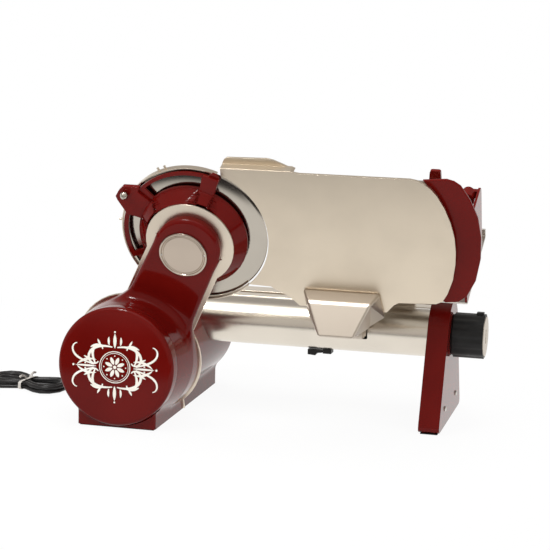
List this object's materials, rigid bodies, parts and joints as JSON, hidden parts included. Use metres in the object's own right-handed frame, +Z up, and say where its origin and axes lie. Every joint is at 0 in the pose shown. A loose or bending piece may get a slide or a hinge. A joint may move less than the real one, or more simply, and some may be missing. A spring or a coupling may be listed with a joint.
{
  "type": "electric meat slicer",
  "caption": "Electric gravity meat slicer with a round blade, a red cast motor housing, a thickness plate and a sliding carriage.",
  "frame": {"origin": "centre of the motor foot's underside, on the table", "axes": "+Z up, +X along the beam towards the thickness dial, -Y towards the side where slices leave"},
  "size_m": [0.853, 0.4771, 0.4142],
  "materials": {
    "red_enamel": "gloss",
    "satin_aluminium": "satin",
    "stainless_steel": "satin",
    "blade_steel": "polished",
    "plain_steel": "plain",
    "black_plastic": "satin",
    "black_rubber": "matt",
    "cord_black": "satin",
    "tie_grey": "satin"
  },
  "bodies": {
    "frame": {"front_housing": "red_enamel", "motor_cap": "red_enamel", "trim_frame": "satin_aluminium", "rear_housing": "red_enamel", "foot_pad": "black_rubber", "leg_pad": "black_rubber", "motor_plate": "plain_steel", "motor_body": "plain_steel", "drive_belt": "black_rubber", "blade_bearing": "plain_steel", "blade_guard": "red_enamel", "ring_guard": "satin_aluminium", "guard_bolt": "stainless_steel", "badge": "stainless_steel", "beam_tube": "satin_aluminium", "leg": "red_enamel", "bed_front": "satin_aluminium", "bed_rear": "satin_aluminium", "slide_rod": "stainless_steel", "switch_block": "black_plastic", "strain_relief": "cord_black", "cord_run": "cord_black", "cord_hank": "cord_black", "cord_tie": "tie_grey", "plug": "cord_black", "housing_screw_1": "stainless_steel", "housing_screw_2": "stainless_steel", "housing_screw_3": "stainless_steel", "leg_screw_1": "stainless_steel", "leg_screw_2": "stainless_steel"},
    "blade": {"blade": "blade_steel", "blade_shaft": "plain_steel", "blade_pulley": "black_plastic", "blade_screw_1": "stainless_steel", "blade_screw_2": "stainless_steel", "blade_screw_3": "stainless_steel"},
    "rotor": {"motor_shaft": "plain_steel", "motor_pulley": "black_plastic"},
    "thickness_plate": {"gauge_plate": "satin_aluminium", "gauge_bracket": "satin_aluminium"},
    "dial": {"dial_knob": "black_plastic", "dial_cap": "satin_aluminium", "dial_shaft": "plain_steel", "spiral_cam": "plain_steel"},
    "carriage": {"carriage_floor": "stainless_steel", "end_wall": "red_enamel", "thumb_guard": "red_enamel", "carriage_neck": "satin_aluminium", "slider": "black_plastic", "pusher_rod": "stainless_steel"},
    "pusher_bush": {"pusher_sleeve": "stainless_steel"},
    "pusher": {"pusher_plate": "stainless_steel", "pusher_arm": "red_enamel"},
    "switch": {"switch_lever": "black_plastic"}
  },
  "joints": [
    {"name": "blade_spin", "type": "hinge", "parent": "frame", "child": "blade", "pos_m": [0.102, -0.105, 0.2935], "axis": [0, -0.9239, -0.3827], "continuous": true},
    {"name": "motor_spin", "type": "hinge", "parent": "frame", "child": "rotor", "pos_m": [0.0005, -0.02272, 0.09487], "axis": [0, -0.9239, -0.3827], "continuous": true},
    {"name": "dial_turn", "type": "hinge", "parent": "frame", "child": "dial", "pos_m": [0.495, 0.055, 0.135], "axis": [1, 0, 0], "range_deg": [0, 300]},
    {"name": "plate_slide", "type": "slide", "parent": "frame", "child": "thickness_plate", "axis": [0, -0.9239, -0.3827], "range_m": [0, 0.015]},
    {"name": "carriage_slide", "type": "slide", "parent": "frame", "child": "carriage", "axis": [-1, 0, 0], "range_m": [0, 0.26]},
    {"name": "pusher_slide", "type": "slide", "parent": "carriage", "child": "pusher_bush", "axis": [0, -0.9239, -0.3827], "range_m": [0, 0.11]},
    {"name": "pusher_swing", "type": "hinge", "parent": "pusher_bush", "child": "pusher", "pos_m": [0.486, 0.03173, 0.35014], "axis": [0, 0.9239, 0.3827], "range_deg": [0, 95]},
    {"name": "switch_rock", "type": "hinge", "parent": "frame", "child": "switch", "pos_m": [0.2671, 0.055, 0.092], "axis": [0, -1, 0], "range_deg": [0, 12]}
  ],
  "couplings": [
    {"joint": "motor_spin", "follows": "blade_spin", "ratio": 3},
    {"joint": "dial_turn", "follows": "plate_slide", "rad_per_m": 349}
  ]
}
